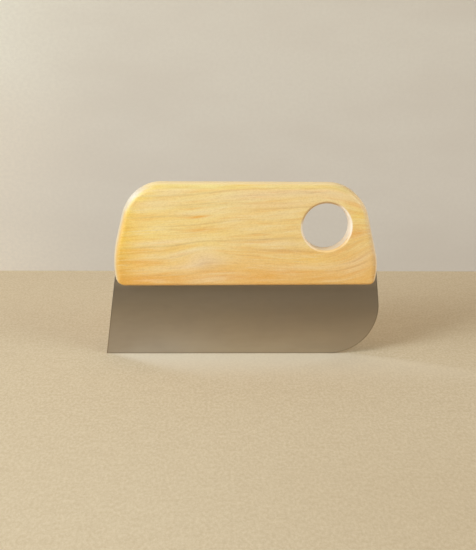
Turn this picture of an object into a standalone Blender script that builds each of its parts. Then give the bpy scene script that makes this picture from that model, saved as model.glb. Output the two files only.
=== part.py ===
"""Dough scraper with a wooden handle, built from its separate pieces.

A rounded board of wood is bored for hanging and sawn along its underside. The
tang of a flat steel blade stands in the saw kerf, and a bead of hardened
adhesive fills the kerf's closed end above it.

Metres, +Z up. X runs along the blade's edge, Y through its thickness. The
origin is in the middle of the blade's straight edge, which the scraper stands
on, and the front of the board faces -Y.
"""

import math
from typing import NamedTuple

import bmesh
import bpy
import numpy as np
from mathutils import Matrix, Vector

# Blade. The ends lean inwards as they rise, and one lower corner is rounded.
BLADE_LENGTH = 0.165
BLADE_SHOWN = 0.0444
BLADE_THICKNESS = 0.0010
BLADE_EDGE_BREAK = 0.00015
TANG_DEPTH = 0.0136
LEFT_END_LEAN = math.radians(6.85)
RIGHT_END_LEAN = math.radians(6.2)
HEEL_RADIUS = 0.0295

# Board of the handle.
HANDLE_HEIGHT = 0.0606
HANDLE_THICKNESS = 0.0150
HANDLE_ROUNDOVER = 0.0040
FOOT_RADIUS = 0.0046

# Left end of the board. It is set in from the blade's end at the foot, swells
# out above it and leans in to the shoulder.
LEFT_FOOT_INSET = 0.0018
LEFT_SWELL = 0.0017
LEFT_SWELL_HEIGHT = 0.0176
LEFT_SWELL_RADIUS = 0.060
LEFT_SHOULDER_INSET = 0.0100
LEFT_SHOULDER_RADIUS = 0.0237

# Right end of the board, the same way.
RIGHT_FOOT_INSET = 0.0024
RIGHT_SWELL = 0.0007
RIGHT_SWELL_HEIGHT = 0.0176
RIGHT_SWELL_RADIUS = 0.060
RIGHT_SHOULDER_INSET = 0.0104
RIGHT_SHOULDER_RADIUS = 0.0248

# Hanging hole through the board, measured from the right end and the top.
BORE_DIAMETER = 0.0284
BORE_RIM_ROUNDOVER = 0.0013
BORE_FROM_END = 0.0307
BORE_FROM_TOP = 0.0256

# Joint between the blade and the board.
JOINT_GAP = 0.0003
GLUE_HEIGHT = 0.0024
GLUE_SETBACK = 0.0015

# Fineness of the round stretches.
CHORD_ERROR = 0.00002
BORE_SEGMENTS = 48
ROUNDOVER_SEGMENTS = 5
SMOOTH_ANGLE = math.radians(32)
RIM_ANGLE = math.radians(60)
WELD_DISTANCE = 0.00001
CUT_OVERRUN = 0.004
LEAST_WALL = 0.0005

# Sizes that follow from those above.
HANDLE_BOTTOM = BLADE_SHOWN
HANDLE_TOP = HANDLE_BOTTOM + HANDLE_HEIGHT
TANG_TOP = HANDLE_BOTTOM + TANG_DEPTH
GLUE_BOTTOM = TANG_TOP + JOINT_GAP
GLUE_TOP = GLUE_BOTTOM + GLUE_HEIGHT
KERF_TOP = GLUE_TOP + JOINT_GAP
KERF_WIDTH = BLADE_THICKNESS + 2 * JOINT_GAP


class Corner(NamedTuple):
    """A corner of a flat outline in the XZ plane, rounded to a radius."""

    x: float
    z: float
    radius: float = 0.0


class Finish(NamedTuple):
    """Plain colour and sheen of a piece."""

    name: str
    colour: tuple
    roughness: float
    metallic: float


WOOD = Finish("oiled_birch", (0.83, 0.57, 0.21), 0.50, 0.0)
STEEL = Finish("brushed_steel", (0.45, 0.42, 0.37), 0.34, 1.0)
GLUE = Finish("hardened_adhesive", (0.62, 0.47, 0.22), 0.45, 0.0)


def left_end(z):
    """X of the blade's left end at a height."""
    return -BLADE_LENGTH / 2 + z * math.tan(LEFT_END_LEAN)


def right_end(z):
    """X of the blade's right end at a height.

    The rounded heel reaches furthest out where its arc stands upright, so the
    end's line starts further out than the blade's reach by what the arc cuts off.
    """
    cut_off = HEEL_RADIUS * (1 / math.cos(RIGHT_END_LEAN) - 1 + math.tan(RIGHT_END_LEAN))
    return BLADE_LENGTH / 2 + cut_off - z * math.tan(RIGHT_END_LEAN)


def blade_corners():
    """Outline of the blade, from the toe round by the heel and the tang's top."""
    return [
        Corner(left_end(0), 0),
        Corner(right_end(0), 0, HEEL_RADIUS),
        Corner(right_end(TANG_TOP), TANG_TOP),
        Corner(left_end(TANG_TOP), TANG_TOP),
    ]


def handle_corners():
    """Outline of the board, from its left foot round to its left swell."""
    left_foot = left_end(HANDLE_BOTTOM) + LEFT_FOOT_INSET
    left_side = left_foot - LEFT_SWELL
    right_foot = right_end(HANDLE_BOTTOM) - RIGHT_FOOT_INSET
    right_side = right_foot + RIGHT_SWELL
    return [
        Corner(left_foot, HANDLE_BOTTOM, FOOT_RADIUS),
        Corner(right_foot, HANDLE_BOTTOM, FOOT_RADIUS),
        Corner(right_side, HANDLE_BOTTOM + RIGHT_SWELL_HEIGHT, RIGHT_SWELL_RADIUS),
        Corner(right_side - RIGHT_SHOULDER_INSET, HANDLE_TOP, RIGHT_SHOULDER_RADIUS),
        Corner(left_side + LEFT_SHOULDER_INSET, HANDLE_TOP, LEFT_SHOULDER_RADIUS),
        Corner(left_side, HANDLE_BOTTOM + LEFT_SWELL_HEIGHT, LEFT_SWELL_RADIUS),
    ]


def bore_centre():
    """Centre of the hanging hole in the XZ plane."""
    reach = max(corner.x for corner in handle_corners())
    return Vector((reach - BORE_FROM_END, HANDLE_TOP - BORE_FROM_TOP))


def rounded_outline(corners):
    """Points of a closed outline whose corners are arcs tangent to its sides.

    Where two arcs would need more than the side between them, both shrink to
    share it.
    """
    at = [Vector((corner.x, corner.z)) for corner in corners]
    count = len(corners)
    to_last = [(at[i - 1] - at[i]).normalized() for i in range(count)]
    to_next = [(at[(i + 1) % count] - at[i]).normalized() for i in range(count)]
    half = [to_last[i].angle(to_next[i]) / 2 for i in range(count)]
    reach = [corners[i].radius / math.tan(half[i]) for i in range(count)]
    for i in range(count):
        other = (i + 1) % count
        needed = reach[i] + reach[other]
        room = 0.98 * (at[other] - at[i]).length
        if needed > room:
            reach[i] *= room / needed
            reach[other] *= room / needed

    points = []
    for i in range(count):
        radius = reach[i] * math.tan(half[i])
        if radius <= CHORD_ERROR:
            points.append(at[i])
            continue
        middle = (to_last[i] + to_next[i]).normalized()
        centre = at[i] + middle * radius / math.sin(half[i])
        start = at[i] + to_last[i] * reach[i] - centre
        sweep = math.pi - 2 * half[i]
        step = 2 * math.acos(1 - CHORD_ERROR / radius)
        steps = max(3, math.ceil(sweep / step))
        for k in range(steps + 1):
            turn = Matrix.Rotation(sweep * k / steps, 2)
            points.append(centre + turn @ start)
    return points


def flat_mesh(name, points, thickness):
    """Mesh of a flat plate with the given outline, upright and centred on Y = 0."""
    curve = bpy.data.curves.new(name, "CURVE")
    curve.dimensions = "2D"
    curve.fill_mode = "BOTH"
    curve.extrude = thickness / 2
    spline = curve.splines.new("POLY")
    spline.points.add(len(points) - 1)
    for target, point in zip(spline.points, points):
        target.co = (point.x, point.y, 0, 1)
    spline.use_cyclic_u = True
    guide = bpy.data.objects.new(name + "_outline", curve)
    guide.rotation_euler.x = math.pi / 2
    bpy.context.scene.collection.objects.link(guide)
    bpy.context.view_layer.update()
    graph = bpy.context.evaluated_depsgraph_get()
    mesh = bpy.data.meshes.new_from_object(guide.evaluated_get(graph))
    mesh.transform(guide.matrix_world)
    bpy.data.objects.remove(guide)
    bpy.data.curves.remove(curve)
    mesh.name = name

    form = bmesh.new()
    form.from_mesh(mesh)
    bmesh.ops.remove_doubles(form, verts=form.verts, dist=WELD_DISTANCE)
    bmesh.ops.dissolve_limit(
        form, angle_limit=math.radians(0.5), verts=form.verts, edges=form.edges
    )
    bmesh.ops.recalc_face_normals(form, faces=form.faces)
    form.to_mesh(mesh)
    form.free()
    return mesh


def make_material(finish):
    """Principled material of a finish."""
    material = bpy.data.materials.new(finish.name)
    material.use_nodes = True
    shader = material.node_tree.nodes["Principled BSDF"]
    shader.inputs["Base Color"].default_value = (*finish.colour, 1)
    shader.inputs["Roughness"].default_value = finish.roughness
    shader.inputs["Metallic"].default_value = finish.metallic
    material.diffuse_color = (*finish.colour, 1)
    return material


def add_piece(name, mesh, finish, collection):
    """Object for one piece, smooth where its facets stand for a curve."""
    mesh.materials.clear()
    mesh.materials.append(make_material(finish))
    mesh.shade_smooth()
    mesh.set_sharp_from_angle(angle=SMOOTH_ANGLE)
    piece = bpy.data.objects.new(name, mesh)
    collection.objects.link(piece)
    return piece


def add_bevel(piece, width, segments, by_weight=False):
    """Round a piece's sharp edges, or only the weighted ones."""
    bevel = piece.modifiers.new("roundover", "BEVEL")
    bevel.width = width
    bevel.segments = segments
    bevel.use_clamp_overlap = False
    bevel.harden_normals = False
    if by_weight:
        bevel.limit_method = "WEIGHT"
    else:
        bevel.limit_method = "ANGLE"
        bevel.angle_limit = RIM_ANGLE
    return bevel


def add_cut(piece, cutter):
    """Cut one solid out of a piece."""
    cut = piece.modifiers.new(cutter.name, "BOOLEAN")
    cut.operation = "DIFFERENCE"
    cut.solver = "EXACT"
    cut.object = cutter


def add_cutter(name, form, collection):
    """Hidden object that a piece is cut with."""
    mesh = bpy.data.meshes.new(name)
    form.to_mesh(mesh)
    form.free()
    cutter = bpy.data.objects.new(name, mesh)
    cutter.hide_render = True
    cutter.display_type = "WIRE"
    collection.objects.link(cutter)
    return cutter


def box_form(size, centre):
    """Closed box of a size, about a centre."""
    form = bmesh.new()
    bmesh.ops.create_cube(form, size=1)
    bmesh.ops.scale(form, vec=size, verts=form.verts)
    bmesh.ops.translate(form, vec=centre, verts=form.verts)
    return form


def kerf_cutter(collection):
    """Saw cut along the board's underside, open at both of its ends."""
    xs = [corner.x for corner in handle_corners()]
    length = max(xs) - min(xs) + 2 * CUT_OVERRUN
    height = KERF_TOP - HANDLE_BOTTOM + CUT_OVERRUN
    size = (length, KERF_WIDTH, height)
    centre = ((max(xs) + min(xs)) / 2, 0, KERF_TOP - height / 2)
    return add_cutter("kerf_cutter", box_form(size, centre), collection)


def bore_cutter(collection):
    """Plain drill for the hanging hole, along Y."""
    form = bmesh.new()
    bmesh.ops.create_cone(
        form,
        cap_ends=True,
        segments=BORE_SEGMENTS,
        radius1=BORE_DIAMETER / 2,
        radius2=BORE_DIAMETER / 2,
        depth=HANDLE_THICKNESS + 2 * CUT_OVERRUN,
    )
    bmesh.ops.rotate(form, verts=form.verts, matrix=Matrix.Rotation(math.pi / 2, 3, "X"))
    centre = bore_centre()
    bmesh.ops.translate(form, vec=(centre.x, 0, centre.y), verts=form.verts)
    return add_cutter("bore_cutter", form, collection)


def weight_bore_rims(mesh):
    """Give bevel weight to the two edges where the bore meets the board's faces."""
    count = len(mesh.vertices)
    points = np.empty(count * 3)
    mesh.vertices.foreach_get("co", points)
    points = points.reshape(count, 3)
    centre = bore_centre()
    from_axis = np.hypot(points[:, 0] - centre.x, points[:, 2] - centre.y)
    on_wall = np.abs(from_axis - BORE_DIAMETER / 2) < CHORD_ERROR
    on_face = np.abs(np.abs(points[:, 1]) - HANDLE_THICKNESS / 2) < CHORD_ERROR
    on_rim = on_wall & on_face
    weights = mesh.attributes.new("bevel_weight_edge", "FLOAT", "EDGE")
    for edge in mesh.edges:
        first, second = edge.vertices
        same_face = points[first, 1] * points[second, 1] > 0
        if on_rim[first] and on_rim[second] and same_face:
            weights.data[edge.index].value = 1


def roundover_width():
    """Roundover of the board's rims, limited by the foot's radius and the kerf's walls."""
    wall = (HANDLE_THICKNESS - KERF_WIDTH) / 2
    return min(HANDLE_ROUNDOVER, FOOT_RADIUS - LEAST_WALL, wall - LEAST_WALL)


def build_handle(parts, cutters):
    """Board of wood: rounded rims, sawn kerf, bored hole with softened rims."""
    board = flat_mesh("handle", rounded_outline(handle_corners()), HANDLE_THICKNESS)
    blank = add_piece("handle_blank", board, WOOD, parts)
    add_bevel(blank, roundover_width(), ROUNDOVER_SEGMENTS)
    add_cut(blank, kerf_cutter(cutters))
    add_cut(blank, bore_cutter(cutters))
    bpy.context.view_layer.update()
    graph = bpy.context.evaluated_depsgraph_get()
    worked = bpy.data.meshes.new_from_object(blank.evaluated_get(graph))
    bpy.data.objects.remove(blank)
    bpy.data.meshes.remove(board)
    worked.name = "handle"
    weight_bore_rims(worked)
    handle = add_piece("handle", worked, WOOD, parts)
    add_bevel(handle, BORE_RIM_ROUNDOVER, ROUNDOVER_SEGMENTS, by_weight=True)
    return handle


def build_blade(parts):
    """Flat steel blade with its tang, every edge lightly broken."""
    plate = flat_mesh("blade", rounded_outline(blade_corners()), BLADE_THICKNESS)
    blade = add_piece("blade", plate, STEEL, parts)
    add_bevel(blade, BLADE_EDGE_BREAK, 2)
    return blade


def build_glue(parts):
    """Bead of hardened adhesive in the kerf's closed end, above the tang."""
    start = left_end(TANG_TOP) + GLUE_SETBACK
    end = right_end(TANG_TOP) - GLUE_SETBACK
    size = (end - start, BLADE_THICKNESS, GLUE_HEIGHT)
    centre = ((start + end) / 2, 0, (GLUE_BOTTOM + GLUE_TOP) / 2)
    form = box_form(size, centre)
    mesh = bpy.data.meshes.new("glue_bead")
    form.to_mesh(mesh)
    form.free()
    bead = add_piece("glue_bead", mesh, GLUE, parts)
    add_bevel(bead, BLADE_THICKNESS / 4, 2)
    return bead


def clear_scene():
    """Remove what the scene starts with."""
    for old in list(bpy.data.objects):
        bpy.data.objects.remove(old)


def main():
    """Build every piece and hold them together under one empty."""
    clear_scene()
    parts = bpy.data.collections.new("dough_scraper")
    cutters = bpy.data.collections.new("cutters")
    for group in (parts, cutters):
        bpy.context.scene.collection.children.link(group)
    scraper = bpy.data.objects.new("dough_scraper", None)
    parts.objects.link(scraper)
    for piece in (build_handle(parts, cutters), build_blade(parts), build_glue(parts)):
        piece.parent = scraper


if __name__ == "__main__":
    main()
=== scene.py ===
"""Looks of a dough scraper: a birch board with a hanging hole, a satin steel blade and its adhesive.

Sizes are in metres, and in millimetres inside the materials. X runs along the blade's edge, Y through
its thickness and Z up, with the origin in the middle of the edge that the scraper stands on. The front
of the board faces -Y.
"""

import logging
import math
from dataclasses import dataclass
from enum import Enum

import bmesh
import bpy
from bmesh.types import BMEdge, BMesh, BMFace, BMVert
from bpy.types import Material, NodeSocket, NodeTree, Object
from mathutils import Matrix, Vector
from mathutils.kdtree import KDTree


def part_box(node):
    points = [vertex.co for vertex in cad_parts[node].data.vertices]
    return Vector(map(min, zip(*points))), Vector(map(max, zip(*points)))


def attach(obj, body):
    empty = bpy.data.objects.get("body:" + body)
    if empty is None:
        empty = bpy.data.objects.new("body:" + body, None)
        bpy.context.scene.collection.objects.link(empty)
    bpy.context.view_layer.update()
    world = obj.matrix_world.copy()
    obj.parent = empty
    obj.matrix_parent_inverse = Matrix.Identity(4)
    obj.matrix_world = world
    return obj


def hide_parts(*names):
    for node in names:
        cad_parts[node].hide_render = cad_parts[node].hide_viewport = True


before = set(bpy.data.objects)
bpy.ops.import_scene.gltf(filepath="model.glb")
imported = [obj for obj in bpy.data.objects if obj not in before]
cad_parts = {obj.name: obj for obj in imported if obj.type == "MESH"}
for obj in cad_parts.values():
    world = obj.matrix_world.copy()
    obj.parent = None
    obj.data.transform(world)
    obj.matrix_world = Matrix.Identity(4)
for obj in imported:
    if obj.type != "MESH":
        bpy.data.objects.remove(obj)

LOG = logging.getLogger("dough_scraper")
MM = 0.001
BODY = "root"

FINEST_TURN = math.radians(3.0)
LONGEST_CHORD = 1.0 * MM
SHARP_ANGLE = math.radians(35.0)
WELD = 0.001 * MM

# Places and sizes that pieces and finishes share, in millimetres, and the slope of the bore.
BORE_X = 48.655
BORE_Z = 79.4
BORE_LEAN = 0.065
HEEL_RADIUS = 29.5

Colour = tuple[float, float, float, float]
Triple = tuple[float, float, float]


class Node(Enum):
    """CAD nodes that the scene's pieces stand for."""

    HANDLE = "handle"
    BLADE = "blade"
    GLUE_BEAD = "glue_bead"


class Slot(Enum):
    """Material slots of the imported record."""

    BIRCH = "birch"
    STEEL = "steel"
    ADHESIVE = "adhesive"


def paint(*levels: int) -> Colour:
    """Turns red, green and blue as a screen shows them, from 0 to 255, into a shader's linear colour."""
    shares = (level / 255 for level in levels)
    return *(s / 12.92 if s <= 0.04045 else ((s + 0.055) / 1.055) ** 2.4 for s in shares), 1.0


@dataclass(frozen=True)
class Mark:
    """One streak or patch, lying along the grain."""

    x: float
    level: float
    half_length: float
    half_width: float
    strength: float


Marks = tuple[Mark, ...]


def marks(*rows: tuple[float, float, float, float, float]) -> Marks:
    """Makes marks of their x, level, half length, half width and strength."""
    return tuple(Mark(*row) for row in rows)


@dataclass(frozen=True)
class Value:
    """A number, vector or colour that a node gives, with the usual sums on it."""

    graph: "Graph"
    socket: NodeSocket

    def __add__(self, other: "Term") -> "Value":
        """Adds a term."""
        return self.graph.math("ADD", self, other)

    def __sub__(self, other: "Term") -> "Value":
        """Takes a term away."""
        return self.graph.math("SUBTRACT", self, other)

    def __rsub__(self, other: float) -> "Value":
        """Takes this value away from a number."""
        return self.graph.math("SUBTRACT", other, self)

    def __mul__(self, other: "Term") -> "Value":
        """Multiplies by a term."""
        return self.graph.math("MULTIPLY", self, other)

    def __truediv__(self, other: "Term") -> "Value":
        """Divides by a term."""
        return self.graph.math("DIVIDE", self, other)

    def __pow__(self, power: float) -> "Value":
        """Raises to a power."""
        return self.graph.math("POWER", self, power)

    def __neg__(self) -> "Value":
        """Turns the sign."""
        return self * -1.0

    def __abs__(self) -> "Value":
        """Drops the sign."""
        return self.graph.math("ABSOLUTE", self)

    def at_least(self, other: "Term") -> "Value":
        """Gives the greater of this value and a term."""
        return self.graph.math("MAXIMUM", self, other)

    def remap(self, low: float, high: float, to_low: float = 0, to_high: float = 1,
              smooth: bool = True) -> "Value":
        """Moves the value from one range to another, easing in and out if smooth, and keeps it inside."""
        numbers = dict(enumerate((self, low, high, to_low, to_high)))
        return self.graph.node("MapRange", numbers, interpolation_type="SMOOTHSTEP" if smooth else "LINEAR")


Term = Value | float
Tint = Value | Colour


@dataclass
class Graph:
    """A tree of shader nodes, with a short call for each kind of node."""

    tree: NodeTree

    def feed(self, socket: NodeSocket, value: object) -> None:
        """Links a socket, or sets its own value where a plain number or colour is given.

        Args:
            socket: The input.
            value: What goes in.
        """
        if isinstance(value, Value):
            self.tree.links.new(value.socket, socket)
        else:
            socket.default_value = value

    def node(self, kind: str, inputs: dict | None = None, output: int | str = 0, **settings: object) -> Value:
        """Adds a node.

        Args:
            kind: The node's type name, without ShaderNode.
            inputs: What goes into its sockets, by their name or place.
            output: The output that is wanted, by its name or place.
            **settings: Properties to set on it.

        Returns:
            What the node gives.
        """
        made = self.tree.nodes.new("ShaderNode" + kind)
        for name, value in settings.items():
            setattr(made, name, value)
        for key, value in (inputs or {}).items():
            self.feed(made.inputs[key], value)
        return Value(self, made.outputs[output])

    def math(self, operation: str, *values: Term, clamp: bool = False) -> Value:
        """Does one of the Math node's operations, and keeps the answer between 0 and 1 if told to."""
        return self.node("Math", dict(enumerate(values)), operation=operation, use_clamp=clamp)

    def scaled(self, vector: Value, factors: Triple) -> Value:
        """Multiplies a vector along each axis."""
        return self.node("VectorMath", {0: vector, 1: factors}, operation="MULTIPLY")

    def split(self, vector: Value) -> list[Value]:
        """Takes a vector apart into its three numbers."""
        parts = self.node("SeparateXYZ", {0: vector}).socket.node.outputs
        return [Value(self, part) for part in parts]

    def layered(self, colour: Tint, *layers: tuple[Term, Tint], mode: str = "MIX") -> Value:
        """Lays colours over a colour.

        Args:
            colour: The colour underneath.
            *layers: How much shows of each further colour, from 0 to 1, and the colour.
            mode: Name of the blend.

        Returns:
            The mixed colour.
        """
        for share, tint in layers:
            colour = self.node("Mix", {0: share, 6: colour, 7: tint}, 2, data_type="RGBA", blend_type=mode)
        return colour

    def reach(self, spot: Mark, x: Value, level: Value) -> Value:
        """Gives how far a place lies from a mark's centre, in its half lengths and half widths."""
        return self.length((x - spot.x) / spot.half_length, (level - spot.level) / spot.half_width)

    def length(self, a: Value, b: Value) -> Value:
        """Gives the length of the slope over two sides that stand square."""
        return self.math("SQRT", a ** 2 + b ** 2)

    def marked(self, spots: Marks, x: Value, level: Value) -> Value:
        """Adds up marks, each strongest at its centre and faded smoothly round it.

        Args:
            spots: The marks.
            x: Place along the grain.
            level: Place across the grain.

        Returns:
            Their sum.
        """
        total: Term = 0.0
        for spot in spots:
            shape = self.math("EXPONENT", -(self.reach(spot, x, level) ** 2))
            total = self.math("MULTIPLY_ADD", shape, spot.strength, total)
        return total


class MaterialGraph(Graph):
    """The nodes of one material round a Principled shader, which know their place in millimetres."""

    def __init__(self, name: str) -> None:
        """Starts a material.

        Args:
            name: The material's name.
        """
        self.material = bpy.data.materials.new(name)
        self.material.use_nodes = True
        super().__init__(self.material.node_tree)
        self.shader = self.tree.nodes["Principled BSDF"]
        self.place = self.scaled(self.node("TexCoord", output="Object"), (1 / MM,) * 3)
        self.x, self.y, self.z = self.split(self.place)

    def noise(self, size: Triple, detail: float, roughness: float = 0.5, place: Value | None = None) -> Value:
        """Adds cloudy noise.

        Args:
            size: Length of one cloud along each axis.
            detail: Number of finer layers.
            roughness: Strength of the finer layers.
            place: Where it is read, if not at the material's own place.

        Returns:
            The noise, from 0 to 1 and mostly near 0.5.
        """
        where = self.scaled(place or self.place, tuple(1 / length for length in size))
        inputs = {"Vector": where, "Scale": 1, "Detail": detail, "Roughness": roughness}
        return self.node("TexNoise", inputs, "Fac")

    def bump(self, height: Value, distance: float, strength: float) -> None:
        """Raises the surface by a height, where a height of 1 is the distance in metres."""
        inputs = {"Strength": strength, "Distance": distance, "Height": height}
        self.feed(self.shader.inputs["Normal"], self.node("Bump", inputs))

    def finish(self, inputs: dict[str, object]) -> Material:
        """Fills in the shader's sockets.

        Args:
            inputs: A value or an output for each socket's name.

        Returns:
            The finished material.
        """
        for name, value in inputs.items():
            self.feed(self.shader.inputs[name], value)
        return self.material


@dataclass(frozen=True)
class GrainFlow:
    """How the board's growth lines climb, bend round an eye and sweep at one end."""

    middle: float = 6.0
    climb: float = 0.047
    step_start: float = -35.0
    step_end: float = -1.9
    step: float = 1.8
    end: float = 44.0
    low_sweep: float = 0.0065
    low_range: tuple[float, float] = (69.0, 93.0)
    high_sweep: float = 0.013
    high_range: tuple[float, float] = (75.0, 99.0)
    face_y: float = -7.5
    slant: float = 0.6
    bends: Marks = marks((-23.9, 64.7, 12, 7.5, 3.5), (48.7, 59.5, 36.0, 9.5, -4.8))

    def level(self, graph: MaterialGraph) -> Value:
        """Bends the board's height so that equal values follow one growth line.

        Args:
            graph: The material's nodes.

        Returns:
            The place across the grain.
        """
        x, y, z = graph.x, graph.y, graph.z
        past = (x - self.end).at_least(0.0) ** 2
        parts = (
            (x - self.middle) * -self.climb,
            x.remap(self.step_start, self.step_end, self.step, 0),
            past * z.remap(*self.low_range, -self.low_sweep, 0),
            past * z.remap(*self.high_range, 0, self.high_sweep),
            -graph.marked(self.bends, x, z),
            (y - self.face_y) * self.slant,
        )
        return sum(parts, z)


@dataclass(frozen=True)
class BirchFinish:
    """Oiled birch: growth lines that bend round an eye, fine fibres, pores and amber streaks."""

    pale: Colour = paint(236, 206, 140)
    honey: Colour = paint(235, 195, 116)
    cream: Colour = paint(236, 207, 161)
    amber: Colour = paint(239, 183, 68)
    golden: Colour = paint(242, 205, 90)
    orange: Colour = paint(228, 163, 72)
    heart: Colour = paint(229, 170, 82)
    line: Colour = paint(188, 140, 92)
    # Painted sheen: pale colours on the left rim that stand in for light glancing off it, paler higher up.
    left_rim_sheen: Colour = paint(205, 184, 146)
    left_rim_sheen_high: Colour = paint(202, 187, 158)
    left_rim_sheen_top: Colour = paint(217, 206, 186)
    # Painted shade on the band just inside the left rim.
    left_rim_shade: Colour = paint(210, 165, 88)
    # Multiplier that paints shade on the inner band of the top rim.
    top_rim_shade: Colour = (0.90, 0.945, 0.86, 1.0)
    # Multiplier that paints shade on the face beside the left end.
    left_face_shade: Colour = (0.955, 0.97, 0.80, 1.0)
    fresh: Colour = (1.012, 1.05, 1.02, 1.0)
    end_grain: Colour = (0.86, 0.80, 0.70, 1.0)
    # Painted highlight on the right rim.
    edge: Colour = paint(255, 227, 184)
    # Painted highlight on the top rim.
    top_rim_highlight: Colour = paint(253, 225, 164)
    # Bore colours: paler bare wood, with painted highlights on the upper wall and left rim and painted shade
    # on the right and upper left.
    pale_and_lit_bore_wall: Colour = paint(240, 224, 202)
    bore_rim: Colour = paint(236, 197, 134)
    lit_bore_rim_left: Colour = paint(244, 214, 174)
    shaded_bore_rim_right: Colour = paint(224, 180, 116)
    bore_foot: Colour = paint(248, 220, 178)
    shaded_bore_heel: Colour = paint(223, 201, 172)
    shaded_bore_brow: Colour = paint(208, 170, 120)
    eye: Mark = Mark(-26.7, 59.8, 3, 2.7, 0.12)
    eye_line: float = 0.45
    wide_sway: float = 3.0
    fine_sway: float = 1.2
    mark_sway: float = 0.8
    ring_spacing: float = 5.2
    ring_sway: float = 3.0
    ring_sharpness: float = 8.0
    pore_depth: float = 0.8
    dark_roughness: float = 0.06
    relief: tuple[float, float] = (0.06 * MM, 0.35)
    flow: GrainFlow = GrainFlow()
    dark_marks: Marks = marks(
        (-44, 72.4, 30, 0.6, 0.46), (12, 72.5, 26, 0.65, 0.38), (-30, 84.3, 42, 0.45, 0.3),
        (-50, 82.3, 20, 0.4, 0.28), (-16, 102.4, 40, 0.55, 0.36), (-28, 96.3, 26, 0.5, 0.32),
        (-48, 90.2, 20, 0.5, 0.32), (-38, 65.2, 12, 0.5, 0.3), (24, 66.9, 24, 0.7, 0.34),
        (66, 53.8, 14, 0.55, 0.42), (66, 57.9, 12, 0.6, 0.3), (-45, 55.1, 30, 0.5, 0.26),
        (30, 90.5, 30, 0.55, 0.26), (18, 98.6, 32, 0.5, 0.26), (-20, 59.1, 8, 2.6, 0.26),
        (28, 70, 7, 2.5, 0.08),
    )
    orange_marks: Marks = marks(
        (-56, 53.2, 9, 2.6, 0.3), (65, 70.4, 8, 2.2, 0.24), (-26, 88.9, 6, 0.8, 1.2),
        (-46, 89.6, 20, 0.8, 0.15), (-25, 80.5, 10, 1.9, 0.85), (-8, 80, 9, 1.3, 0.3),
        (-58, 70.6, 24, 1.3, 0.4), (9, 71.2, 10, 0.8, 0.55), (-60, 64, 18, 1.4, 0.45),
        (28, 66.2, 22, 1.5, 0.45), (60, 65.2, 14, 1.4, 0.35), (69, 71.4, 8, 1.5, 0.75),
        (66, 95.6, 8, 1.7, 0.5), (62, 88.5, 8, 1.5, 0.35), (35, 53.6, 26, 0.7, 0.5),
        (-30, 51.5, 60, 2, 0.3), (-79, 57.5, 14, 8, 0.95), (-60, 52.4, 20, 2.4, 0.45),
        (52, 48.5, 7, 2.5, 0.35), (9, 48.5, 14, 3, 0.5), (64, 73, 6, 3.5, 0.5),
        (4, 63, 9, 5, 0.32), (63, 61.5, 6, 2.4, 0.25),
    )
    amber_marks: Marks = marks(
        (4, 65, 7, 9, 0.12), (9, 48.6, 14, 2.2, 0.13), (58, 49, 9, 3, 0.12),
        (-84, 79, 20, 32, 1.25), (-50, 101.5, 22, 2, 0.15), (40, 62.5, 9, 4.5, 0.45),
        (-52, 80.8, 12, 2.6, 0.2), (-50, 68.6, 12, 3, 0.12), (68, 68.5, 9, 2.2, 0.22),
    )
    golden_marks: Marks = marks(
        (-56, 81, 8, 3, 0.25), (-57, 104.5, 7, 2.5, 0.25), (-13, 50, 12, 2.4, 0.16),
        (-61, 101.8, 6.5, 2.2, 0.7), (-68.5, 95.5, 3, 4, 0.7), (-56, 58.4, 20, 3, 0.25),
        (61, 92.5, 5, 3, 0.55), (67.5, 86, 4, 7, 0.5),
    )
    pale_marks: Marks = marks(
        (-45, 74.6, 22, 1.5, 0.75), (-30, 66.8, 16, 1.6, 0.7), (-24, 61, 11, 4.5, 0.7),
        (-52, 98, 14, 2.6, 0.55), (-28, 91.6, 16, 1.1, 0.5), (2, 98.8, 30, 2.8, 0.65),
        (22, 92.5, 26, 1.8, 0.5), (-38, 59.5, 24, 1.6, 0.45), (22, 70, 14, 1.3, 0.45),
        (38, 58, 18, 2.2, 0.5), (70, 69, 10, 1.3, 0.45), (-16, 50.4, 17, 2.4, 0.75),
        (67, 51.5, 12, 4, 0.4), (46, 98.3, 18, 2.6, 0.4), (-42, 104, 12, 2.2, 0.55),
        (68, 57.3, 10, 2.6, 0.5), (28, 51.3, 6, 4, 0.16), (-47, 57.6, 24, 1.7, 0.25),
        (21, 54.8, 8, 2.4, 0.3), (58, 97, 14, 6, 0.38), (22, 99.5, 16, 3, 0.25),
        (-8, 70.5, 8, 3, 0.25), (-8, 82.5, 8, 3, 0.18), (-3, 88, 12, 3, 0.25),
        (-26, 91, 12, 2.6, 0.22), (22, 87.5, 12, 3, 0.22),
    )

    def paint_rim_light_and_shade(self, graph: MaterialGraph, colour: Value) -> Value:
        """Paints light and shade on the rounded rims: a painted sheen on the left rim, painted shade on the
        inner bands of the left and top rims and on the face beside the left end, and painted highlights on
        the top and right rims.

        Args:
            graph: The material's nodes.
            colour: The wood's colour.

        Returns:
            The wood's colour, sanded.
        """
        x, z, depth = graph.x, graph.z, abs(graph.y)
        leftward = x.remap(-50, -67)
        # Where the painted shade goes, just inside the left rim.
        tan = depth.remap(7.5, 6.9) * z.remap(85, 55, 0.6, 0.8) * leftward
        corner = depth.remap(7.2, 6.2) * z.remap(84, 92) * leftward
        left = (depth.remap(7.1, 5.6) * leftward).at_least(corner)
        # Painted shade on the face beside the left end.
        left_face_shade_share = depth.remap(6.3, 7) * x.remap(-60, -74)
        # Where the painted highlight goes on the right rim.
        right = depth.remap(6.8, 5.6, 0, 0.9) * x.remap(58, 70)
        # Where the painted highlight goes on the top rim.
        top = depth.remap(5.8, 4.2) * z.remap(101.5, 104.5, 0, 0.7)
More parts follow.
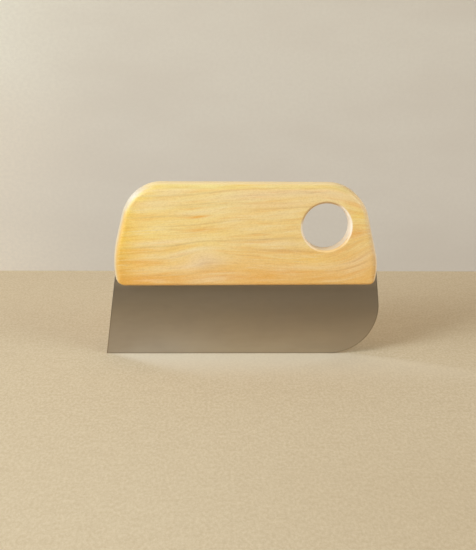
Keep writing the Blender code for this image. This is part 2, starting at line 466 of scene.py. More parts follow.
        # Painted shade on the inner band of the top rim, fading out towards the ends.
        painted_shade_brow = depth.remap(7.46, 7.1) * depth.remap(4.8, 5.8)
        painted_shade_brow = painted_shade_brow * z.remap(97, 101.5) * abs(x).remap(66, 56)
        colour = graph.layered(colour, (painted_shade_brow, self.top_rim_shade), (left_face_shade_share, self.left_face_shade), mode="MULTIPLY")
        high, highest = z.remap(78, 92), z.remap(92, 98)
        # Painted sheen on the left rim, paler higher up.
        left_rim_sheen = graph.layered(self.left_rim_sheen, (high, self.left_rim_sheen_high), (highest, self.left_rim_sheen_top))
        rims = (tan, self.left_rim_shade), (left, left_rim_sheen), (top, self.top_rim_highlight), (right, self.edge)
        return graph.layered(colour, *rims)

    def bore(self, graph: MaterialGraph, colour: Value) -> Value:
        """Gives the bore's wall and rims a paler colour, as bare wood, and paints light and shade on them.

        Args:
            graph: The material's nodes.
            colour: The wood's colour.

        Returns:
            The wood's colour, with the bore's own on its wall and rims.
        """
        level = graph.y * BORE_LEAN + graph.z - BORE_Z
        beside = graph.x - BORE_X
        rightward = beside.remap(0, 9)
        leftward = beside.remap(-2, -10)
        # Painted shade on the upper left of the bore.
        painted_shade_brow = (beside * -0.7 + level).remap(4, 11) * level.remap(0, 6)
        # Paler bare wood, with painted highlights on the left rim and upper wall and painted shade on the
        # right.
        wall = graph.layered(
            graph.layered(self.bore_rim, (rightward, self.shaded_bore_rim_right), (leftward, self.lit_bore_rim_left)),
            (abs(graph.y).remap(7, 4.5), graph.layered(self.bore_foot, (rightward, self.shaded_bore_heel))),
            (level.remap(-10, 0), self.pale_and_lit_bore_wall),
            (painted_shade_brow, self.shaded_bore_brow),
        )
        return graph.layered(colour, (graph.length(beside, level).remap(15.6, 14.8, 0, 0.95), wall))

    def cut_across(self, graph: MaterialGraph, colour: Value, fibres: Value, streaks: Value) -> Value:
        """Speckles the wood where the board's ends and its bore cut across the grain.

        Args:
            graph: The material's nodes.
            colour: The wood's colour.
            fibres: The fine fibres.
            streaks: The broader streaks.

        Returns:
            The wood's colour, with end grain.
        """
        ends = abs(graph.x).remap(56, 68)
        bored = graph.length(graph.x - BORE_X, graph.z - BORE_Z).remap(16, 15)
        cut = abs(graph.y).remap(7.4, 6.4) * ends.at_least(bored)
        pattern = fibres.remap(0.35, 0.7, 0, 0.3) + streaks.remap(0.4, 0.7, 0, 0.25)
        return graph.layered(colour, (pattern * cut, self.end_grain), mode="MULTIPLY")

    def material(self) -> Material:
        """Builds the wood's material.

        Returns:
            The finished material.
        """
        graph = MaterialGraph("oiled_birch")
        x, y, z = graph.x, graph.y, graph.z
        true_level = self.flow.level(graph)
        wide = graph.noise((60, 30, 20), 1) - 0.5
        fine = graph.noise((18, 9, 5), 2) - 0.5
        level = fine * self.fine_sway + (wide * self.wide_sway + true_level)
        marked = fine * self.mark_sway + true_level
        along_grain = graph.node("CombineXYZ", {0: x, 1: y, 2: level})
        bands = graph.noise((34, 9, 3.6), 3, place=along_grain)
        streaks = graph.noise((20, 2, 1.15), 3, 0.55, along_grain)
        fibres = graph.noise((9, 0.5, 0.42), 3, 0.65, along_grain)
        pores = graph.noise((3.2, 0.28, 0.28), 1, place=along_grain)
        specks = graph.noise((0.9, 0.9, 0.6), 2, 0.7)

        ring_drift = graph.noise((150, 60, 11), 1, place=along_grain)
        ring = graph.math("FRACT", level * (1 / self.ring_spacing) + ring_drift * self.ring_sway)
        ring_fade = graph.noise((45, 9, 6), 1, place=along_grain).remap(0.42, 0.68, 0, 0.3)
        eye_ring = abs(graph.reach(self.eye, x, z) - 1.0).remap(self.eye_line, 0)
        dark = graph.marked(self.dark_marks, x, marked) + ring ** self.ring_sharpness * ring_fade
        dark = dark + eye_ring * self.eye.strength
        dark = graph.math("MULTIPLY", dark, streaks.remap(0.3, 0.6, 0.45, 1), clamp=True)

        patchy = streaks.remap(0.25, 0.65, 0.5, 1.1)
        figure = (
            (self.amber_marks, self.amber),
            (self.golden_marks, self.golden),
            (self.pale_marks, self.cream),
            (self.orange_marks, self.orange),
        )
        colour = graph.layered(
            self.pale,
            (bands.remap(0.3, 0.7), self.honey),
            (level.remap(68, 50, 0, 0.75), self.heart),
            *((graph.marked(spots, x, marked) * patchy, tint) for spots, tint in figure),
            (dark, self.line),
            (streaks.remap(0.5, 0.72) * z.remap(66, 52, 0.36, 0.6), self.orange),
            (streaks.remap(0.48, 0.28, 0, 0.4), self.cream),
            (fibres.remap(0.5, 0.72, 0, 0.26), self.line),
            (fibres.remap(0.5, 0.3, 0, 0.3), self.cream),
            (specks.remap(0.42, 0.7, 0, 0.2), self.line),
            (specks.remap(0.5, 0.3, 0, 0.15), self.cream),
            (pores.remap(0.66, 0.8, 0, 0.3), self.line),
        )
        freshness = x.remap(10, -22) * z.remap(60, 70)
        colour = graph.layered(colour, (freshness, self.fresh), mode="MULTIPLY")
        colour = self.bore(graph, self.paint_rim_light_and_shade(graph, colour))
        graph.bump(fibres - pores.remap(0.62, 0.8) * self.pore_depth, *self.relief)
        return graph.finish({
            "Base Color": self.cut_across(graph, colour, fibres, streaks),
            "Roughness": fibres.remap(0.3, 0.7, 0.34, 0.44) + dark * self.dark_roughness,
            "IOR": 1.48, "Coat Weight": 0.2, "Coat Roughness": 0.35,
        })


@dataclass(frozen=True)
class SteelFinish:
    """Satin steel sheet, brushed along its length, with a duller band where its edges were broken."""

    face: Colour = (0.53, 0.46, 0.36, 1.0)
    cloud: Colour = (0.48, 0.405, 0.31, 1.0)
    # Painted shade: a darker reflection on the blade's right.
    shaded_reflection: Colour = (0.42, 0.35, 0.27, 1.0)
    # Painted light: a lighter band at the top of the blade, where the board's shadow and reflection darken
    # it.
    under_board_light: Colour = (0.66, 0.57, 0.44, 1.0)
    rim: Colour = (0.36, 0.29, 0.21, 1.0)
    cool: Colour = (1.01, 1.055, 1.17, 1.0)
    shaded_reflection_marks: Marks = marks((50, 24, 60, 14, 0.6))
    relief: tuple[float, float] = (0.004 * MM, 0.35)
    scratch_depth: float = 0.5
    rim_layer: str = "broken_edge"
    rim_share: float = 0.8
    rim_roughness: float = 0.06

    def material(self) -> Material:
        """Builds the steel's material. A layer of its mesh tells it where the edge was broken.

        Returns:
            The finished material.
        """
        graph = MaterialGraph("satin_steel")
        x, z = graph.x, graph.z
        brushing = graph.noise((45, 0.3, 0.22), 3, 0.7)
        scratches = graph.noise((14, 0.15, 0.11), 1)
        clouds = graph.noise((38, 38, 16), 3, 0.6)
        rim = graph.node("Attribute", output="Fac", attribute_type="GEOMETRY", attribute_name=self.rim_layer)
        colour = graph.layered(
            self.face,
            (clouds.remap(0.35, 0.7), self.cloud),
            (brushing.remap(0.3, 0.7, 0, 0.25), self.cloud),
            # Painted shade: darker reflection on the blade's right.
            (graph.marked(self.shaded_reflection_marks, x, z), self.shaded_reflection),
            # Painted light on the band under the board.
            (z.remap(40, 44.4, 0, 0.75), self.under_board_light),
        )
        coolness = x.remap(5, -55) * z.remap(32, 6)
        colour = graph.layered(colour, (coolness, self.cool), mode="MULTIPLY")
        rough = clouds.remap(0.3, 0.7, 0.32, 0.37) + brushing.remap(0.3, 0.7, -0.02, 0.03)
        graph.bump(brushing + scratches * self.scratch_depth, *self.relief)
        return graph.finish({
            "Base Color": graph.layered(colour, (rim * self.rim_share, self.rim)),
            "Roughness": rim * self.rim_roughness + rough,
            "Metallic": 1.0, "Anisotropic": 0.35,
        })


@dataclass(frozen=True)
class AdhesiveFinish:
    """Hardened amber adhesive with a slightly uneven skin."""

    deep: Colour = paint(150, 112, 62)
    light: Colour = paint(186, 150, 96)
    relief: tuple[float, float] = (0.05 * MM, 0.4)

    def material(self) -> Material:
        """Builds the adhesive's material.

        Returns:
            The finished material.
        """
        graph = MaterialGraph("hardened_adhesive")
        clouds = graph.noise((2.4, 0.8, 0.8), 3)
        graph.bump(clouds, *self.relief)
        return graph.finish({
            "Base Color": graph.layered(self.deep, (clouds.remap(0.35, 0.65), self.light)),
            "Roughness": clouds.remap(0.3, 0.7, 0.3, 0.42),
        })


@dataclass(frozen=True)
class Gleam:
    """A patch of light that the blade's face throws back on to the floor before it."""

    toe_lean: float
    heel_lean: float
    rise: float
    strength: float


@dataclass(frozen=True)
class FeltFinish:
    """Fine, close felt under the scraper, with specks of lighter and darker fibre."""

    light: Colour = paint(212, 194, 163)
    dark: Colour = paint(197, 176, 144)
    gleaming: Colour = paint(226, 211, 186)
    shade: Colour = (0.952, 0.937, 0.920, 1.0)
    unlit: Colour = (0.05, 0.034, 0.018, 1.0)
    toe_x: float = -79.5
    heel_x: float = 53.0
    blade_height: float = 50.0
    least_blur: float = 9.0
    blur_growth: float = 0.45
    gleams: tuple[Gleam, ...] = (Gleam(1.2, 1.5, 0.75, 0.45), Gleam(1.2, -1.9, 1, 0.4))
    near: float = 10.0
    far: float = 190.0
    calm_start: float = 60.0
    calm_end: float = 200.0
    calm_contrast: float = 0.70
    cloud_share: float = 0.18
    relief: tuple[float, float] = (0.25 * MM, 0.25)

    def gleam(self, graph: MaterialGraph, gleam: Gleam) -> Value:
        """Shades the patch where one lamp's light comes back off the blade, soft away from it.

        Args:
            graph: The material's nodes.
            gleam: The patch's slant and strength.

        Returns:
            How strong the patch is at the place.
        """
        ahead = -graph.y
        height = ahead * gleam.rise
        blur = ahead.at_least(0.0) * self.blur_growth + self.least_blur
        toe = (ahead * -gleam.toe_lean + (graph.x - self.toe_x)) / blur
        past = (ahead * -gleam.heel_lean + (graph.x - self.heel_x)).at_least(0.0)
        under = (HEEL_RADIUS - height).at_least(0.0)
        heel = (HEEL_RADIUS - graph.length(past, under)) / blur
        share = toe.remap(-0.5, 0.5) * heel.remap(-0.5, 0.5)
        share = share * height.remap(0, self.blade_height, gleam.strength, 0)
        return share * ahead.remap(-0.5, 0.5)

    def material(self) -> Material:
        """Builds the floor's material. Mirrored in the steel, it darkens away from the scraper.

        Returns:
            The finished material.
        """
        graph = MaterialGraph("floor_felt")
        x, y = graph.x, graph.y
        specks = graph.noise((1.5, 2.7, 1), 3, 0.85)
        clouds = graph.noise((9, 9, 1), 3, 0.7)
        calm = y.remap(-self.calm_start, -self.calm_end, 1, self.calm_contrast)
        mixed = clouds * self.cloud_share + specks * (1 - self.cloud_share)
        mixed = (mixed - 0.5) * calm + 0.5
        colour = graph.layered(self.dark, (mixed.remap(0.36, 0.64), self.light))
        shaded = x.remap(-60, 80) * y.remap(-100, -210)
        colour = graph.layered(colour, (shaded, self.shade), mode="MULTIPLY")
        mirrored = y.remap(-self.near, -self.far, 0, 0.9) * graph.node("LightPath", output="Is Glossy Ray")
        gleams = ((self.gleam(graph, gleam), self.gleaming) for gleam in self.gleams)
        colour = graph.layered(colour, *gleams, (mirrored, self.unlit))
        graph.bump(specks, *self.relief)
        return graph.finish({"Base Color": colour, "Roughness": 0.9, "Specular IOR Level": 0.1})


@dataclass(frozen=True)
class PaperFinish:
    """Matt paper backdrop, barely clouded, with painted light that makes it brighter towards the left."""

    light: Colour = paint(204, 196, 179)
    dark: Colour = paint(200, 191, 174)
    lit_left_paper: Colour = paint(219, 207, 184)
    lit_left_paper_high: Colour = paint(225, 220, 200)
    lit_left_paper_low: Colour = paint(232, 217, 190)
    pressed: Colour = paint(196, 187, 170)

    def material(self) -> Material:
        """Builds the backdrop's material.

        Returns:
            The finished material.
        """
        graph = MaterialGraph("backdrop_paper")
        clouds = graph.noise((160, 160, 60), 3)
        fibres = graph.noise((5, 5, 4), 3, 0.7)
        high, low = graph.z.remap(40, 200), graph.z.remap(-30, -140)
        colour = graph.layered(
            self.dark,
            (clouds.remap(0.3, 0.7), self.light),
            # Painted light: the paper grows brighter towards the left.
            (graph.x.remap(-100, -450),
             graph.layered(self.lit_left_paper, (high, self.lit_left_paper_high), (low, self.lit_left_paper_low))),
            (fibres.remap(0.35, 0.65, 0, 0.3), self.pressed),
        )
        return graph.finish({"Base Color": colour, "Roughness": 0.95, "Specular IOR Level": 0.0})


def draw_arc(bm: BMesh, start: Vector, centre: Vector, finish: Vector) -> list[BMVert]:
    """Spins one vertex round a centre.

    Args:
        bm: The mesh being made.
        start: Where the arc starts.
        centre: Its centre.
        finish: Where it ends, as far from the centre and less than half a turn on.

    Returns:
        The arc's vertices, in order.
    """
    first, last = start - centre, finish - centre
    turn = first.angle(last)
    steps = max(math.ceil(turn / FINEST_TURN), math.ceil(turn * first.length / LONGEST_CHORD))
    vert = bm.verts.new(start)
    axis = first.cross(last).normalized()
    bmesh.ops.spin(bm, geom=[vert], cent=centre, axis=axis, angle=turn, steps=steps)
    bm.verts.ensure_lookup_table()
    return [vert, *bm.verts[-steps:]]


@dataclass(frozen=True)
class Corner:
    """A corner of an outline in the XZ plane, rounded to a radius."""

    x: float
    z: float
    radius: float = 0.0

    def point(self, y: float) -> Vector:
        """Gives the corner's place at a depth."""
        return Vector((self.x, y, self.z))

    def draw(self, bm: BMesh, before: "Corner", after: "Corner", y: float) -> list[BMVert]:
        """Draws the corner's rounding.

        Args:
            bm: The mesh being made.
            before: The outline's corner before this one.
            after: The one after it.
            y: Depth of the outline.

        Returns:
            The vertices of the rounding, or the corner's own vertex where it is square.
        """
        if not self.radius:
            return [bm.verts.new(self.point(y))]
        here = self.point(y)
        back = (before.point(y) - here).normalized()
        ahead = (after.point(y) - here).normalized()
        half = back.angle(ahead) / 2
        reach = self.radius / math.tan(half)
        centre = here + (back + ahead).normalized() * (self.radius / math.sin(half))
        return draw_arc(bm, here + back * reach, centre, here + ahead * reach)


@dataclass(frozen=True)
class Outline:
    """A closed outline of straight stretches and arcs that touch."""

    corners: tuple[Corner, ...]

    def draw(self, bm: BMesh, y: float) -> BMFace:
        """Draws and fills the outline.

        Args:
            bm: The mesh being made.
            y: Depth of the outline.

        Returns:
            The filled face.
        """
        before = self.corners[-1:] + self.corners[:-1]
        after = self.corners[1:] + self.corners[:1]
        chains = [here.draw(bm, b, a, y) for b, here, a in zip(before, self.corners, after)]
        for chain, following in zip(chains, chains[1:] + chains[:1]):
            bm.edges.new((chain[-1], following[0]))
        edges = {edge for chain in chains for vert in chain for edge in vert.link_edges}
        return bmesh.ops.edgeloop_fill(bm, edges=list(edges))["faces"][0]


@dataclass(frozen=True)
class Cut:
    """A plane that bounds a pocket. Its normal points out of the pocket."""

    point: Vector
    normal: Vector

    def outside(self, place: Vector) -> bool:
        """Tells whether a place lies past the plane."""
        return (place - self.point).dot(self.normal) > 0


def facing(bm: BMesh, y: float) -> list[BMFace]:
    """Finds the faces that lie flat at one depth."""
    return [face for face in bm.faces if all(abs(vert.co.y - y) < WELD for vert in face.verts)]


def verts_of(geom: list) -> list[BMVert]:
    """Picks the vertices out of what an operator made."""
    return [item for item in geom if isinstance(item, BMVert)]


def inset(bm: BMesh, faces: list[BMFace], width: float) -> None:
    """Draws faces in from their border and leaves a strip of new faces round them."""
    bmesh.ops.inset_region(bm, faces=faces, thickness=width, use_boundary=True, use_even_offset=True)


def extrude_forward(bm: BMesh, faces: list[BMFace], distance: float) -> None:
    """Extrudes faces along Y and keeps the faces that they start from."""
    moved = bmesh.ops.extrude_face_region(bm, geom=faces, use_keep_orig=True)["geom"]
    bmesh.ops.translate(bm, vec=(0, distance, 0), verts=verts_of(moved))


def close_round_pocket(bm: BMesh, wall: float, cuts: tuple[Cut, ...]) -> None:
    """Carries a half slab to its middle plane, except in front of a pocket, and leaves it open there.

    Args:
        bm: The mesh being made, the slab's front half with a flat back at the pocket's wall.
        wall: Depth of the pocket's front wall.
        cuts: The planes that bound the pocket.
    """
    for cut in cuts:
        back = facing(bm, wall)
        edges = {edge for face in back for edge in face.edges}
        verts = {vert for face in back for vert in face.verts}
        bmesh.ops.bisect_plane(bm, geom=[*verts, *edges, *back], dist=WELD,
                               plane_co=cut.point, plane_no=cut.normal)
    solid = [face for face in facing(bm, wall)
             if any(cut.outside(face.calc_center_median()) for cut in cuts)]
    moved = bmesh.ops.extrude_face_region(bm, geom=solid)["geom"]
    bmesh.ops.translate(bm, vec=(0, -wall, 0), verts=verts_of(moved))
    spent = [item for item in moved if isinstance(item, BMFace)]
    spent += [face for face in solid if face.is_valid]
    bmesh.ops.delete(bm, geom=spent, context="FACES")


def mirror_half(bm: BMesh) -> None:
    """Mirrors a half that is open at Y 0, and welds the two halves.

    Args:
        bm: The mesh being made.
    """
    bmesh.ops.mirror(bm, geom=[*bm.verts, *bm.edges, *bm.faces], matrix=Matrix.Identity(4),
                     merge_dist=WELD, axis="Y")
    bmesh.ops.remove_doubles(bm, verts=bm.verts, dist=WELD)
    bmesh.ops.recalc_face_normals(bm, faces=bm.faces)


def round_over(bm: BMesh, edges: list[BMEdge], radius: float, segments: int) -> None:
    """Rounds edges over by a radius, with a number of faces across the rounding."""
    bmesh.ops.bevel(bm, geom=edges, offset=radius, offset_type="OFFSET", segments=segments,
                    profile=0.5, affect="EDGES", loop_slide=True, material=-1)


def linked(name: str, data: bpy.types.ID) -> Object:
    """Makes an object of its data and puts it in the scene.

    Args:
        name: The object's name.
        data: Its mesh, lamp or camera.

    Returns:
        The object.
    """
    made = bpy.data.objects.new(name, data)
    bpy.context.scene.collection.objects.link(made)
    return made


def mesh_object(bm: BMesh, name: str, material: Material) -> Object:
    """Turns a finished mesh into an object in the scene.

    Args:
        bm: The finished mesh, which is freed.
        name: The object's name.
        material: Its finish.

    Returns:
        The object.
    """
    mesh = bpy.data.meshes.new(name)
    bm.to_mesh(mesh)
    bm.free()
    mesh.materials.append(material)
    return linked(name, mesh)


def finished_piece(bm: BMesh, name: str, node: Node, material: Material) -> Object:
    """Turns a finished mesh into a piece that stands for a CAD node.

    Args:
        bm: The finished mesh, which is freed.
        name: The piece's name.
        node: The node that it stands for.
        material: Its finish.

    Returns:
        The piece, with its place in its mesh.
    """
    for face in bm.faces:
        face.smooth = True
    for edge in bm.edges:
        edge.smooth = edge.calc_face_angle(0.0) < SHARP_ANGLE
    open_edges = sum(not edge.is_manifold for edge in bm.edges)
    piece = mesh_object(bm, name, material)
    shading = piece.modifiers.new("even_shading", "WEIGHTED_NORMAL")
    shading.mode = "FACE_AREA"
    shading.keep_sharp = True
    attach(piece, BODY)
    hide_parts(node.value)
    faces = len(piece.data.polygons)
    LOG.info("%s: %d faces, %d open edges, stands for %s", name, faces, open_edges, node.value)
    return piece


@dataclass
class Board:
    """The wooden board, with rounded rims, a hanging hole and a kerf along its underside."""

    finish: BirchFinish
    outline: Outline
    half_thickness: float = 7.5 * MM
    roundover: float = 4.0 * MM
    underside_roundover: float = 2.0 * MM
    underside_start: float = 0.2
    underside_span: float = 0.7
    roundover_segments: int = 14
    bore_x: float = BORE_X * MM
    bore_z: float = BORE_Z * MM
    bore_radius: float = 14.05 * MM
    bore_roundover: float = 1.6 * MM
    bore_lean: float = BORE_LEAN
    bore_segments: int = 144
    bore_flat: float = 0.6 * MM
    kerf_half_width: float = 0.8 * MM
    kerf_top: float = 61.0 * MM
    cap_margin: float = 0.4 * MM

    def bore_surface(self, bm: BMesh) -> list[BMEdge]:
        """Spins the bore's wall, its rounded rim and a narrow ring of the face round its axis.

        Args:
            bm: The mesh being made.

        Returns:
            The ring's outer edges.
        """
        face_y = -self.half_thickness
        rim = self.bore_x + self.bore_radius + self.bore_roundover
        start = Vector((rim, face_y, self.bore_z))
        centre = start + Vector((0, self.bore_roundover, 0))
        profile = draw_arc(bm, start, centre, centre - Vector((self.bore_roundover, 0, 0)))
        outer = bm.verts.new(start + Vector((self.bore_flat, 0, 0)))
        inner = bm.verts.new((self.bore_x + self.bore_radius, 0, self.bore_z))
        bm.edges.new((outer, profile[0]))
        bm.edges.new((profile[-1], inner))
        line = [outer, *profile, inner]
        edges = {edge for vert in line for edge in vert.link_edges}
        bmesh.ops.spin(bm, geom=[*line, *edges], cent=(self.bore_x, 0, self.bore_z), axis=(0, 1, 0),
                       angle=2 * math.pi, steps=self.bore_segments, use_merge=True)
        reach = rim + self.bore_flat - self.bore_x
        axis = Vector((self.bore_x, face_y, self.bore_z))
        return [edge for edge in bm.edges
                if all(abs((vert.co - axis).length - reach) < WELD for vert in edge.verts)]

    def lean_bore(self, bm: BMesh) -> None:
        """Leans the bore's axis, which was drilled a little out of square.

        Args:
            bm: The mesh being made, the whole board with a square bore.
        """
        widest = self.bore_radius + self.bore_roundover + self.bore_flat + WELD
        for vert in bm.verts:
            if math.hypot(vert.co.x - self.bore_x, vert.co.z - self.bore_z) < widest:
                vert.co.z -= self.bore_lean * vert.co.y

    def ease_underside(self, bm: BMesh) -> None:
        """Draws the rounding in where it turns along the underside, which is only lightly eased.

        Args:
            bm: The mesh being made, the board's front half with its rounding in rows across the rim.
        """
        face_y = -self.half_thickness
        rounded = [vert for vert in bm.verts if vert.co.y < face_y + self.roundover + WELD]
        outer = [vert for vert in rounded if vert.co.y > face_y + self.roundover - WELD]
        nearest = KDTree(len(outer))
        for index, vert in enumerate(outer):
            nearest.insert((vert.co.x, 0, vert.co.z), index)
        nearest.balance()
        rows: dict[int, list[BMVert]] = {}
        for vert in rounded:
            rows.setdefault(nearest.find((vert.co.x, 0, vert.co.z))[1], []).append(vert)
        for index, row in rows.items():
            corner = Vector((outer[index].co.x, face_y, outer[index].co.z))
            inner = min(row, key=lambda vert: vert.co.y)
            downward = (inner.co - corner).normalized().z
            share = min(max((downward - self.underside_start) / self.underside_span, 0.0), 1.0)
            share = share * share * (3 - 2 * share)
            scale = 1 - share * (1 - self.underside_roundover / self.roundover)
            for vert in row:
                vert.co = corner + (vert.co - corner) * scale

    def build(self) -> Object:
        """Builds the board's front half, bores it and mirrors it.

        Returns:
            The finished piece.
        """
        bm = bmesh.new()
        wall = self.outline.draw(bm, -self.kerf_half_width)
        extrude_forward(bm, [wall], self.kerf_half_width - self.half_thickness)
        front = facing(bm, -self.half_thickness)[0]
        round_over(bm, list(front.edges), self.roundover, self.roundover_segments)
        self.ease_underside(bm)
        roof = Cut(Vector((0, 0, self.kerf_top)), Vector((0, 0, 1)))
        close_round_pocket(bm, -self.kerf_half_width, (roof,))
        front = max(facing(bm, -self.half_thickness), key=lambda face: face.calc_area())
        inset(bm, [front], self.cap_margin)
        border = list(front.edges)
        bmesh.ops.delete(bm, geom=[front], context="FACES_ONLY")
        ring = self.bore_surface(bm)
        bmesh.ops.triangle_fill(bm, edges=[*border, *ring], use_beauty=True)
        mirror_half(bm)
        self.lean_bore(bm)
        return finished_piece(bm, "board", Node.HANDLE, self.finish.material())


@dataclass
class Blade:
    """The flat steel blade, with its tang standing in the board's kerf."""

    finish: SteelFinish
    outline: Outline
    half_thickness: float = 0.5 * MM
    edge_break: float = 0.15 * MM
    edge_segments: int = 3
    dull_band: float = 0.40 * MM
    dull_fade: float = 0.20 * MM

    def build(self) -> Object:
        """Builds the plate, breaks its edges and marks the dull band beside them.

        Returns:
            The finished piece.
        """
        bm = bmesh.new()
        layer = bm.verts.layers.float.new(self.finish.rim_layer)
        face = self.outline.draw(bm, -self.half_thickness)
        extrude_forward(bm, [face], 2 * self.half_thickness)
        bmesh.ops.recalc_face_normals(bm, faces=bm.faces)
        sides = (-self.half_thickness, self.half_thickness)
        rims = [edge for side in sides for cap in facing(bm, side) for edge in cap.edges]
        round_over(bm, rims, self.edge_break, self.edge_segments)
        caps = [max(facing(bm, side), key=lambda cap: cap.calc_area()) for side in sides]
        for width in (self.dull_band, self.dull_fade):
            inset(bm, caps, width)
        inner = {vert for cap in caps for vert in cap.verts}
        for vert in bm.verts:
            vert[layer] = 0.0 if vert in inner else 1.0
        return finished_piece(bm, "blade_plate", Node.BLADE, self.finish.material())


@dataclass
class Adhesive:
    """The adhesive that fills the kerf round and above the tang."""

    finish: AdhesiveFinish
    outline: Outline
    tang: tuple[Cut, ...]
    half_width: float = 0.78 * MM
    tang_half_width: float = 0.52 * MM
    mouth: float = 44.7 * MM
    top: float = 60.97 * MM
    setback: float = 0.35 * MM

    def build(self) -> Object:
        """Builds the adhesive's front half round the tang and mirrors it.

        Returns:
            The finished piece.
        """
        bm = bmesh.new()
        face = self.outline.draw(bm, -self.half_width)
        inset(bm, [face], self.setback)
        bmesh.ops.delete(bm, geom=[f for f in bm.faces if f is not face], context="FACES")
        for height, up in ((self.top, 1), (self.mouth, -1)):
            bmesh.ops.bisect_plane(bm, geom=[*bm.verts, *bm.edges, *bm.faces], dist=WELD, clear_outer=True,
                                   plane_co=(0, 0, height), plane_no=(0, 0, up))
        for vert in bm.verts:
            vert.co.y = -self.tang_half_width
        extrude_forward(bm, list(bm.faces), self.tang_half_width - self.half_width)
        close_round_pocket(bm, -self.tang_half_width, self.tang)
        mirror_half(bm)
        return finished_piece(bm, "adhesive", Node.GLUE_BEAD, self.finish.material())


@dataclass
class DoughScraper:
    """The whole scraper: the sizes that its pieces share, and the pieces."""

    left_lean: float = math.radians(6.85)
    right_lean: float = math.radians(6.2)
    heel_radius: float = HEEL_RADIUS * MM
    tang_top: float = 58.0 * MM
    tang_clearance: float = 0.02 * MM
    board_corners: tuple[Corner, ...] = (
        Corner(-75.52 * MM, 43.96 * MM, 6.5 * MM),
        Corner(78.59 * MM, 44.81 * MM, 4.73 * MM),
        Corner(80.38 * MM, 56.5 * MM, 38.3 * MM),
        Corner(68.955 * MM, 105.0 * MM, 24.8 * MM),
        Corner(-67.066 * MM, 105.0 * MM, 23.7 * MM),
        Corner(-77.066 * MM, 62.0 * MM, 60.0 * MM),
    )

    def left_end(self, z: float) -> float:
        """Gives X of the blade's left end at a height."""
        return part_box(Node.BLADE.value)[0].x + z * math.tan(self.left_lean)

    def right_end(self, z: float) -> float:
        """Finds the blade's right end, above its heel.

        Args:
            z: The height.

        Returns:
            X at that height.
        """
        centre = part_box(Node.BLADE.value)[1].x - self.heel_radius
        foot = centre + self.heel_radius * (1 + math.sin(self.right_lean)) / math.cos(self.right_lean)
        return foot - z * math.tan(self.right_lean)

    def blade_outline(self) -> Outline:
        """Draws up the blade's outline, from its square toe round by the heel.

        Returns:
            The outline.
        """
        top = self.tang_top
        return Outline((
            Corner(self.left_end(0.0), 0.0),
            Corner(self.right_end(0.0), 0.0, self.heel_radius),
            Corner(self.right_end(top), top),
            Corner(self.left_end(top), top),
        ))

    def tang_cuts(self) -> tuple[Cut, ...]:
        """Finds the planes just outside the tang's two ends and top.

        Returns:
            The three planes.
        """
        left = Vector((-math.cos(self.left_lean), 0, math.sin(self.left_lean)))
        right = Vector((math.cos(self.right_lean), 0, math.sin(self.right_lean)))
        up = Vector((0, 0, 1))
        return (
            Cut(Vector((self.left_end(0.0), 0, 0)) + left * self.tang_clearance, left),
            Cut(Vector((self.right_end(0.0), 0, 0)) + right * self.tang_clearance, right),
            Cut(up * (self.tang_top + self.tang_clearance), up),
        )

    def build(self) -> None:
        """Builds every piece."""
        board = Outline(self.board_corners)
        Board(BirchFinish(), board).build()
        Blade(SteelFinish(), self.blade_outline()).build()
        Adhesive(AdhesiveFinish(), board, self.tang_cuts()).build()


@dataclass(frozen=True)
class Softbox:
    """A studio lamp with a soft face that shines at the scraper."""

    name: str
    place: Triple
    width: float
    height: float
    power: float
    colour: Triple
    target: Triple = (0.0, 0.0, 0.05)

    def hang(self) -> None:
        """Hangs the lamp and turns it to its target."""
        lamp = bpy.data.lights.new(self.name, "AREA")
        lamp.shape = "RECTANGLE"
        lamp.size, lamp.size_y = self.width, self.height
        lamp.energy, lamp.color = self.power, self.colour
        holder = linked(self.name, lamp)
        holder.location = self.place
        aim = Vector(self.target) - Vector(self.place)
        holder.rotation_mode = "QUATERNION"
        holder.rotation_quaternion = aim.to_track_quat("-Z", "Y")
        holder.visible_camera = False
        LOG.info("lamp %s hangs at %s", self.name, self.place)


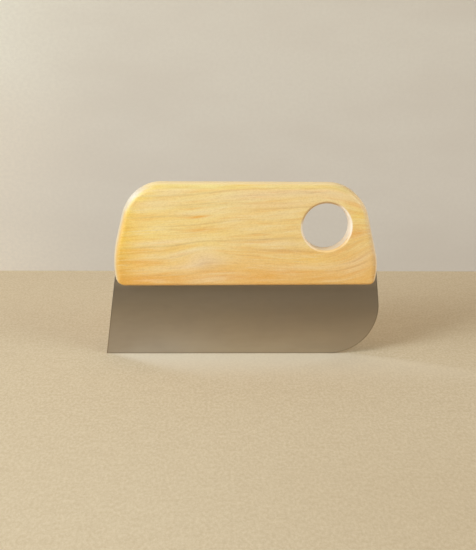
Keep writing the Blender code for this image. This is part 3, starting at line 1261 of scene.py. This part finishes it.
@dataclass
class Studio:
    """Floor, backdrop, lamps and the room's own soft light."""

    floor_back: float = 213.0 * MM
    floor_reach: float = 3.0
    wall_y: float = 700.0 * MM
    wall_reach: float = 3.0
    horizon_light: float = 0.62
    zenith_light: float = 0.0
    zenith_height: float = 0.5
    room_colour: Colour = (1.0, 0.807, 0.70, 1.0)
    mirrored_colour: Colour = (1.0, 0.985, 0.96, 1.0)
    shown_colour: Colour = paint(208, 197, 179)
    mirrored_light: float = 0.333
    shown_light: float = 1.0
    softboxes: tuple[Softbox, ...] = (
        Softbox("key", (-1, -0.8, 0.6), 0.65, 0.65, 17.5, (0.744, 0.89, 1)),
        Softbox("wash", (-1.3, -0.4, 0.75), 1.5, 1.2, 12.4, (0.846, 0.887, 1)),
        Softbox("fill", (1.05, -0.75, 0.8), 0.6, 0.6, 4.8, (0.69, 0.92, 1)),
        Softbox("side", (1.2, -0.4, 0.3), 0.5, 0.5, 4.3, (0.896, 0.925, 1)),
        Softbox("top", (0, -0.1, 1.3), 1, 1, 4.2, (1, 0.75, 0.5)),
    )

    def lay(self, name: str, centre: Triple, side: Triple, rise: Triple, material: Material) -> None:
        """Lays a flat sheet that belongs to the stage.

        Args:
            name: Its name.
            centre: Its centre.
            side: Half of its width, as a vector.
            rise: Half of its height, as a vector.
            material: Its finish.
        """
        bm = bmesh.new()
        normal = Vector(side).cross(Vector(rise)).normalized()
        turn = Matrix((side, rise, normal)).transposed().to_4x4()
        placed = Matrix.Translation(centre) @ turn
        bmesh.ops.create_grid(bm, x_segments=1, y_segments=1, size=1.0, matrix=placed)
        sheet = mesh_object(bm, name, material)
        LOG.info("%s laid", name)

    def light_room(self) -> None:
        """Gives the world its soft light, what the camera sees of it and what gloss mirrors."""
        world = bpy.data.worlds.new("studio_room")
        bpy.context.scene.world = world
        world.use_nodes = True
        world.node_tree.nodes.clear()
        graph = Graph(world.node_tree)
        height = graph.split(graph.node("TexCoord", output="Generated"))[2]
        fade = height.remap(0.0, self.zenith_height, self.horizon_light, self.zenith_light, smooth=False)
        seen = graph.node("Background", {"Color": self.room_colour, "Strength": fade})
        for ray, colour, strength in (
            ("Is Glossy Ray", self.mirrored_colour, self.mirrored_light),
            ("Is Camera Ray", self.shown_colour, self.shown_light),
        ):
            lit = graph.node("Background", {"Color": colour, "Strength": strength})
            seen = graph.node("MixShader", {0: graph.node("LightPath", output=ray), 1: seen, 2: lit})
        surface = world.node_tree.nodes.new("ShaderNodeOutputWorld").inputs["Surface"]
        graph.feed(surface, seen)

    def build(self) -> None:
        """Lays the floor and backdrop and hangs the lamps."""
        depth = (self.floor_back + self.floor_reach) / 2
        middle = (0, self.floor_back - depth, 0)
        self.lay("floor", middle, (self.floor_reach, 0, 0), (0, depth, 0), FeltFinish().material())
        across, upward = (self.wall_reach, 0, 0), (0, 0, self.wall_reach)
        self.lay("backdrop", (0, self.wall_y, 0), across, upward, PaperFinish().material())
        for softbox in self.softboxes:
            softbox.hang()
        self.light_room()


@dataclass(frozen=True)
class PhotoCamera:
    """The camera, with the place and turn that the photograph was taken from."""

    place: Triple = (-20.058 * MM, -577.144 * MM, 191.359 * MM)
    yaw: float = 0.0295752
    pitch: float = 0.2415348
    roll: float = 0.0086489
    lens: float = 50.0
    sensor: float = 24.0 * 550 / 476
    nearest: float = 0.01
    farthest: float = 20.0

    def set_up(self) -> None:
        """Puts the camera in the scene."""
        data = bpy.data.cameras.new("photo_camera")
        data.lens, data.sensor_width = self.lens, self.sensor
        data.clip_start, data.clip_end = self.nearest, self.farthest
        camera = linked("photo_camera", data)
        level = math.cos(self.pitch)
        right = Vector((math.cos(self.yaw), -math.sin(self.yaw), 0))
        ahead = Vector((math.sin(self.yaw) * level, math.cos(self.yaw) * level, -math.sin(self.pitch)))
        up = right.cross(ahead)
        across = right * math.cos(self.roll) + up * math.sin(self.roll)
        upward = up * math.cos(self.roll) - right * math.sin(self.roll)
        turn = Matrix((across, upward, -ahead)).transposed().to_4x4()
        camera.matrix_world = Matrix.Translation(Vector(self.place)) @ turn
        bpy.context.scene.camera = camera
        LOG.info("camera looks %.1f degrees down", math.degrees(self.pitch))


def main() -> None:
    """Builds the scraper and its studio."""
    logging.basicConfig(level=logging.INFO, format="%(message)s")
    bpy.context.scene.view_settings.view_transform = "Standard"
    for startup in ("Cube", "Light", "Camera"):
        if startup in bpy.data.objects:
            bpy.data.objects.remove(bpy.data.objects[startup])
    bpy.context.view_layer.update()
    PhotoCamera().set_up()
    DoughScraper().build()
    Studio().build()


if __name__ == "__main__":
    main()
